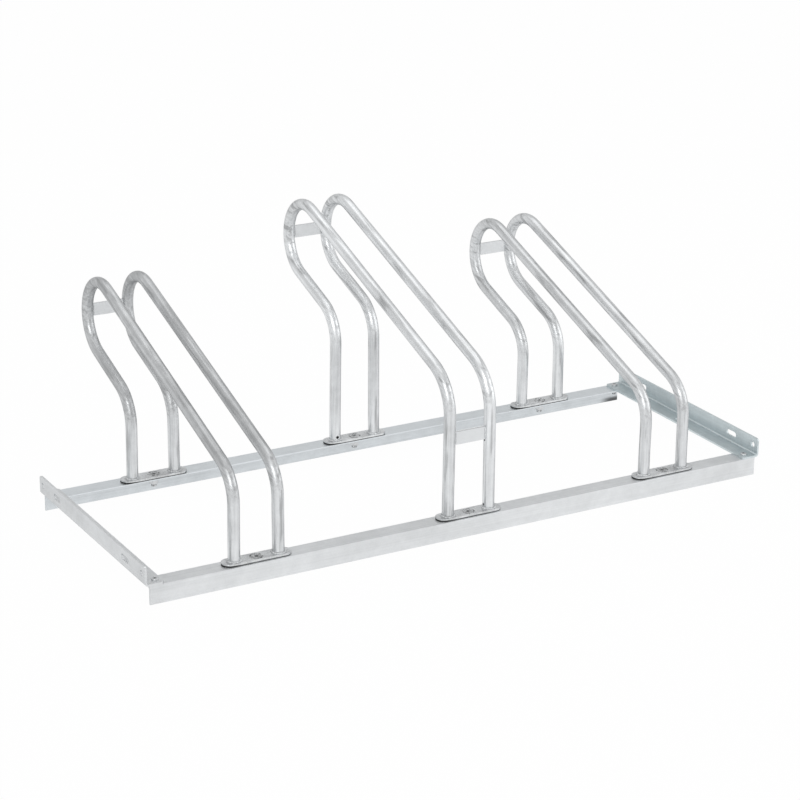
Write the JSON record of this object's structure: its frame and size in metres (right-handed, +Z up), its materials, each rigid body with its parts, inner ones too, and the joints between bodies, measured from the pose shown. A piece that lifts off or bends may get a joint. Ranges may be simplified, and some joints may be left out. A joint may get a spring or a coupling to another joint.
{
  "type": "floor bike rack",
  "caption": "Galvanised floor bike rack: angle rails and folded end angles carry low and high bent-tube wheel hoops with flat tie bars.",
  "frame": {"origin": "on the floor, in the middle of the box round the whole rack", "axes": "+X along the rails to the right, +Y from the front rail to the rear, +Z up"},
  "size_m": [1.064, 0.5453, 0.4054],
  "materials": {
    "rail_zinc": "hot-dip galvanised, satin",
    "end_zinc": "hot-dip galvanised, satin",
    "tube_zinc": "galvanised tube, brushed lengthwise",
    "plate_zinc": "hot-dip galvanised, satin",
    "tie_zinc": "hot-dip galvanised, satin",
    "bolt_zinc": "zinc plated"
  },
  "bodies": {
    "root": {"front_rail": "rail_zinc", "rear_rail": "rail_zinc", "left_end_angle": "end_zinc", "left_front_corner_bolt": "bolt_zinc", "left_front_corner_nut": "bolt_zinc", "left_rear_corner_bolt": "bolt_zinc", "left_rear_corner_nut": "bolt_zinc", "right_end_angle": "end_zinc", "right_front_corner_bolt": "bolt_zinc", "right_front_corner_nut": "bolt_zinc", "right_rear_corner_bolt": "bolt_zinc", "right_rear_corner_nut": "bolt_zinc", "left_hoop_left_tube": "tube_zinc", "left_hoop_right_tube": "tube_zinc", "left_hoop_front_plate": "plate_zinc", "left_hoop_front_bolt": "bolt_zinc", "left_hoop_front_washer": "bolt_zinc", "left_hoop_front_nut": "bolt_zinc", "left_hoop_rear_plate": "plate_zinc", "left_hoop_rear_bolt": "bolt_zinc", "left_hoop_rear_washer": "bolt_zinc", "left_hoop_rear_nut": "bolt_zinc", "left_hoop_top_tie": "tie_zinc", "centre_hoop_left_tube": "tube_zinc", "centre_hoop_right_tube": "tube_zinc", "centre_hoop_front_plate": "plate_zinc", "centre_hoop_front_bolt": "bolt_zinc", "centre_hoop_front_washer": "bolt_zinc", "centre_hoop_front_nut": "bolt_zinc", "centre_hoop_rear_plate": "plate_zinc", "centre_hoop_rear_bolt": "bolt_zinc", "centre_hoop_rear_washer": "bolt_zinc", "centre_hoop_rear_nut": "bolt_zinc", "centre_hoop_top_tie": "tie_zinc", "right_hoop_left_tube": "tube_zinc", "right_hoop_right_tube": "tube_zinc", "right_hoop_front_plate": "plate_zinc", "right_hoop_front_bolt": "bolt_zinc", "right_hoop_front_washer": "bolt_zinc", "right_hoop_front_nut": "bolt_zinc", "right_hoop_rear_plate": "plate_zinc", "right_hoop_rear_bolt": "bolt_zinc", "right_hoop_rear_washer": "bolt_zinc", "right_hoop_rear_nut": "bolt_zinc", "right_hoop_top_tie": "tie_zinc", "centre_hoop_lower_tie": "tie_zinc"}
  },
  "joints": []
}
